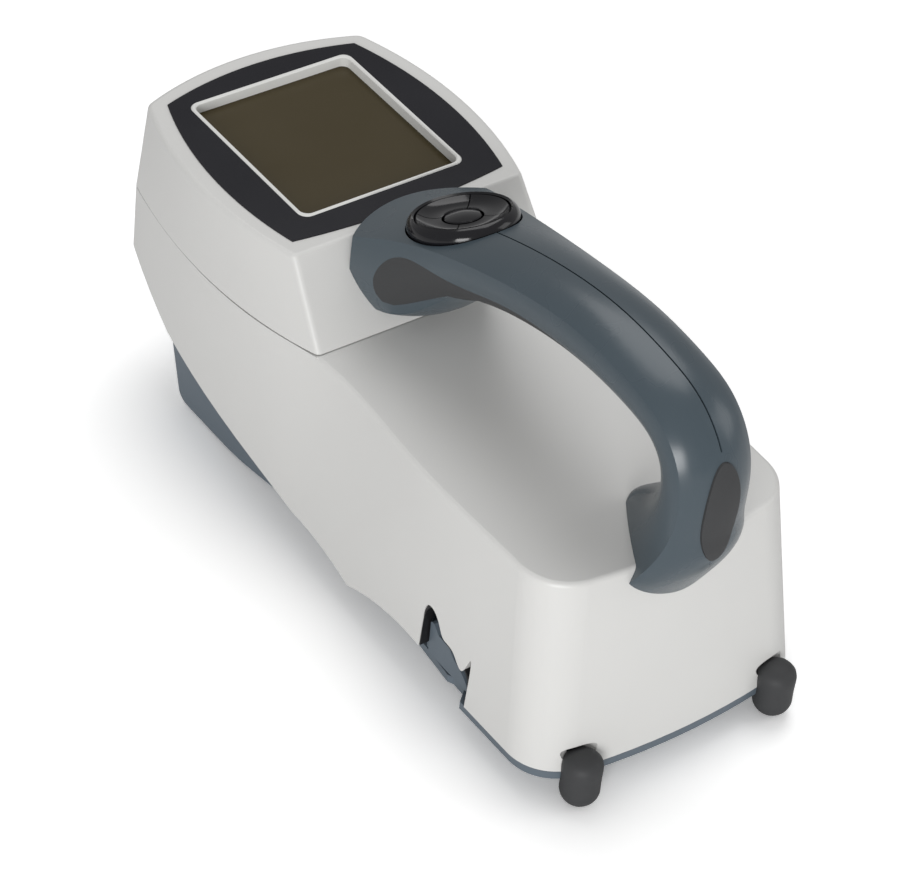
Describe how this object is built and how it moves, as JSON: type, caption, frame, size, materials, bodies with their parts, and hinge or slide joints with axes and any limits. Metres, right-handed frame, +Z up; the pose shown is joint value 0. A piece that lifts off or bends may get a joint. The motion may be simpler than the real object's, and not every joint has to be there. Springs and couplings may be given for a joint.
{
  "type": "portable colorimeter",
  "caption": "Hand-held bench colorimeter: white case, arched carrying handle with a round keypad, tilted display head and a measuring port under its nose.",
  "frame": {"origin": "under the middle of the instrument, on the bench surface", "axes": "X to the right, Y from the measuring nose toward the display head, Z up"},
  "size_m": [0.1012, 0.2518, 0.1329],
  "materials": {
    "case_white": "satin",
    "handle_blue_grey": "satin",
    "base_blue_grey": "satin",
    "rubber_dark": "matte",
    "bezel_black": "gloss",
    "frame_white": "satin",
    "lcd_dark": "gloss",
    "key_black": "gloss",
    "board_green": "gloss",
    "inner_black": "matte",
    "aluminium_part": "satin",
    "lens_glass": "gloss",
    "steel_part": "satin",
    "cell_wrap": "gloss",
    "film_cable": "gloss"
  },
  "bodies": {
    "instrument": {"main_shell": "case_white", "head_cover": "case_white", "base_shell": "base_blue_grey", "display_bezel": "bezel_black", "window_frame": "frame_white", "lcd_panel": "lcd_dark", "lcd_board": "board_green", "handle_left": "handle_blue_grey", "handle_right": "handle_blue_grey", "grip_insert": "rubber_dark", "handle_end_plug": "rubber_dark", "keypad_housing": "key_black", "keypad_membrane": "rubber_dark", "keypad_board": "board_green", "keypad_cable": "film_cable", "bumper_foot_left": "rubber_dark", "bumper_foot_right": "rubber_dark", "rear_pads": "rubber_dark", "port_plate": "base_blue_grey", "optics_block": "aluminium_part", "illumination_ring": "inner_black", "viewing_lens": "lens_glass", "optics_cap": "aluminium_part", "flash_lamp": "inner_black", "spectrometer_case": "inner_black", "fibre_link": "inner_black", "main_board": "board_green", "battery_cells": "cell_wrap", "battery_tray": "inner_black", "battery_contacts": "steel_part", "door_hinge_pin": "steel_part", "usb_socket": "steel_part", "power_jack": "inner_black", "base_screws": "steel_part", "head_screws": "steel_part", "board_screws": "steel_part", "handle_foot_screws": "steel_part", "handle_head_screws": "steel_part"},
    "key_up": {"key_up": "key_black"},
    "key_down": {"key_down": "key_black"},
    "key_left": {"key_left": "key_black"},
    "key_right": {"key_right": "key_black"},
    "key_enter": {"key_enter": "key_black"},
    "tab_left": {"release_tab_left": "base_blue_grey"},
    "tab_right": {"release_tab_right": "base_blue_grey"},
    "door": {"battery_door": "base_blue_grey", "door_contacts": "steel_part"}
  },
  "joints": [
    {"name": "key_up_press", "type": "slide", "parent": "instrument", "child": "key_up", "axis": [0, -0.342, -0.9397], "range_m": [0, 0.0006], "stiffness_N_per_m": 1500},
    {"name": "key_down_press", "type": "slide", "parent": "instrument", "child": "key_down", "axis": [0, -0.342, -0.9397], "range_m": [0, 0.0006], "stiffness_N_per_m": 1500},
    {"name": "key_left_press", "type": "slide", "parent": "instrument", "child": "key_left", "axis": [0, -0.342, -0.9397], "range_m": [0, 0.0006], "stiffness_N_per_m": 1500},
    {"name": "key_right_press", "type": "slide", "parent": "instrument", "child": "key_right", "axis": [0, -0.342, -0.9397], "range_m": [0, 0.0006], "stiffness_N_per_m": 1500},
    {"name": "key_enter_press", "type": "slide", "parent": "instrument", "child": "key_enter", "axis": [0, -0.342, -0.9397], "range_m": [0, 0.0006], "stiffness_N_per_m": 1500},
    {"name": "tab_left_rock", "type": "hinge", "parent": "instrument", "child": "tab_left", "pos_m": [-0.043, -0.06865, 0.015], "axis": [0, 1, 0], "range_deg": [0, 8], "stiffness_Nm_per_rad": 0.3},
    {"name": "tab_right_rock", "type": "hinge", "parent": "instrument", "child": "tab_right", "pos_m": [0.043, -0.06865, 0.015], "axis": [0, -1, 0], "range_deg": [0, 8], "stiffness_Nm_per_rad": 0.3},
    {"name": "door_swing", "type": "hinge", "parent": "instrument", "child": "door", "pos_m": [0, 0.09053, 0.00949], "axis": [-1, 0, 0], "range_deg": [0, 85]}
  ]
}
